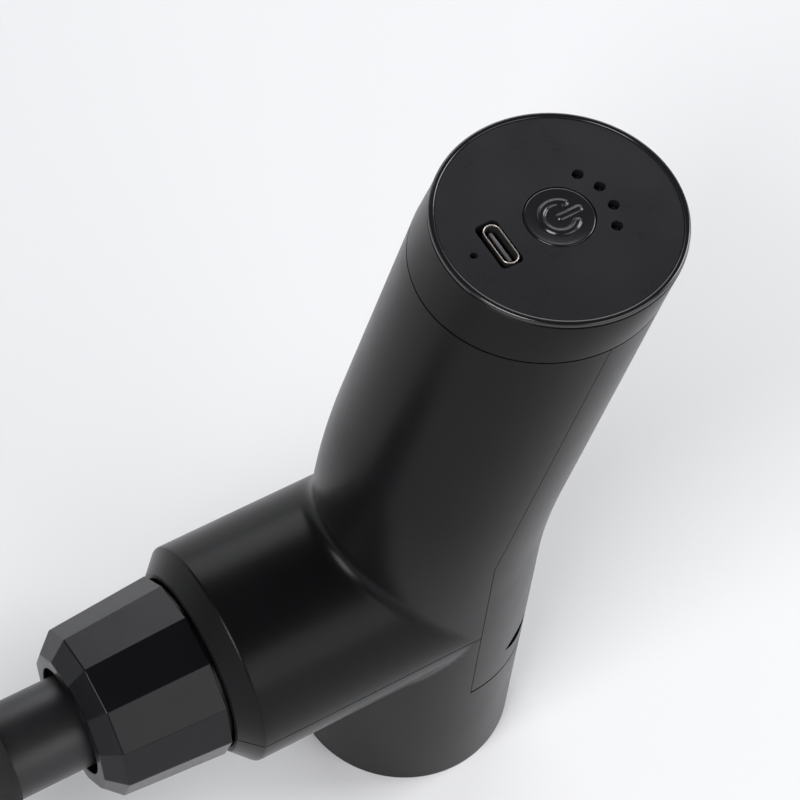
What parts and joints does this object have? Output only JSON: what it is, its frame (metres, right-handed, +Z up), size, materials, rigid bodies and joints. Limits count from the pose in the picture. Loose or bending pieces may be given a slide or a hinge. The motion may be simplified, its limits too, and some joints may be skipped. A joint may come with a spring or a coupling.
{
  "type": "massage gun",
  "caption": "Cordless percussion massage gun: round leaning handle, side barrel with a faceted nose, crank-driven piston and a pull-off ball head.",
  "frame": {"origin": "middle of the flat rubber foot under the stub, on the motor shaft's axis", "axes": "+Z up the stub and the motor shaft, -X out along the barrel towards the massage head, +X the way that the handle leans; y = 0 is the plane of symmetry"},
  "size_m": [0.1773, 0.0458, 0.156],
  "materials": {
    "housing_plastic": "satin moulded black plastic, very fine grain",
    "plate_plastic": "satin dark charcoal plastic with a slight blue cast",
    "collar_plastic": "satin black plastic with flat facets",
    "button_plastic": "semi-gloss black plastic",
    "stem_plastic": "matte black plastic, fine spark-eroded grain",
    "head_foam": "matte black closed-cell foam rubber",
    "rubber": "matte black rubber",
    "cell_wrap": "shrink-wrapped battery cell",
    "inner_plastic": "plain off-white moulded plastic",
    "board": "green solder mask",
    "black_insert": "plain black plastic",
    "lamp_chip": "lamp chip package",
    "lamp_lens": "dark tinted light guide, unlit",
    "port_metal": "bright drawn steel",
    "bronze": "sintered bronze",
    "copper": "enamelled copper wire",
    "aluminium": "turned aluminium",
    "magnet": "nickel-plated ring magnet",
    "steel": "machined steel"
  },
  "bodies": {
    "housing": {"base_screw_1": "steel", "base_screw_2": "steel", "base_screw_3": "steel", "base_shell": "housing_plastic", "battery_cell_1": "cell_wrap", "battery_cell_2": "cell_wrap", "battery_cradle_lower": "inner_plastic", "battery_cradle_upper": "inner_plastic", "board_screw_1": "steel", "board_screw_2": "steel", "cap_band": "housing_plastic", "circuit_board": "board", "end_plate": "plate_plastic", "foot_pad": "rubber", "guide_bush": "bronze", "led_chip_1": "lamp_chip", "led_chip_2": "lamp_chip", "led_chip_3": "lamp_chip", "led_chip_4": "lamp_chip", "led_lens_1": "lamp_lens", "led_lens_2": "lamp_lens", "led_lens_3": "lamp_lens", "led_lens_4": "lamp_lens", "motor_bearing_lower": "steel", "motor_bearing_upper": "steel", "motor_mount": "aluminium", "nose_carrier": "inner_plastic", "nose_collar": "collar_plastic", "rear_cover": "housing_plastic", "stator_core": "steel", "stator_winding": "copper", "tact_switch": "black_insert", "upper_housing": "housing_plastic", "usb_shell": "port_metal", "usb_tongue": "black_insert"},
    "crank": {"crank_disc": "steel", "crank_pin": "steel", "magnet_ring": "magnet", "motor_shaft": "steel", "rotor_can": "steel"},
    "rod": {"connecting_rod": "aluminium", "crank_bearing": "steel", "wrist_pin": "steel"},
    "piston": {"piston": "aluminium"},
    "head": {"head_stem": "stem_plastic", "stem_seal": "rubber", "head_ball": "head_foam"},
    "button": {"power_button": "button_plastic"}
  },
  "joints": [
    {"name": "crank_spin", "type": "hinge", "parent": "housing", "child": "crank", "pos_m": [0, 0, 0.0569], "axis": [0, 0, 1], "continuous": true},
    {"name": "rod_swing", "type": "hinge", "parent": "crank", "child": "rod", "pos_m": [-0.004, 0, 0.0569], "axis": [0, 0, 1], "continuous": true},
    {"name": "piston_stroke", "type": "slide", "parent": "housing", "child": "piston", "axis": [1, 0, 0], "range_m": [0, 0.008]},
    {"name": "head_pull", "type": "slide", "parent": "piston", "child": "head", "axis": [-1, 0, 0], "range_m": [0, 0.016]},
    {"name": "power_press", "type": "slide", "parent": "housing", "child": "button", "axis": [0, 0, -1], "range_m": [0, 0.0005], "stiffness_N_per_m": 1200}
  ],
  "couplings": [
    {"joint": "rod_swing", "follows": "crank_spin", "ratio": -1}
  ]
}
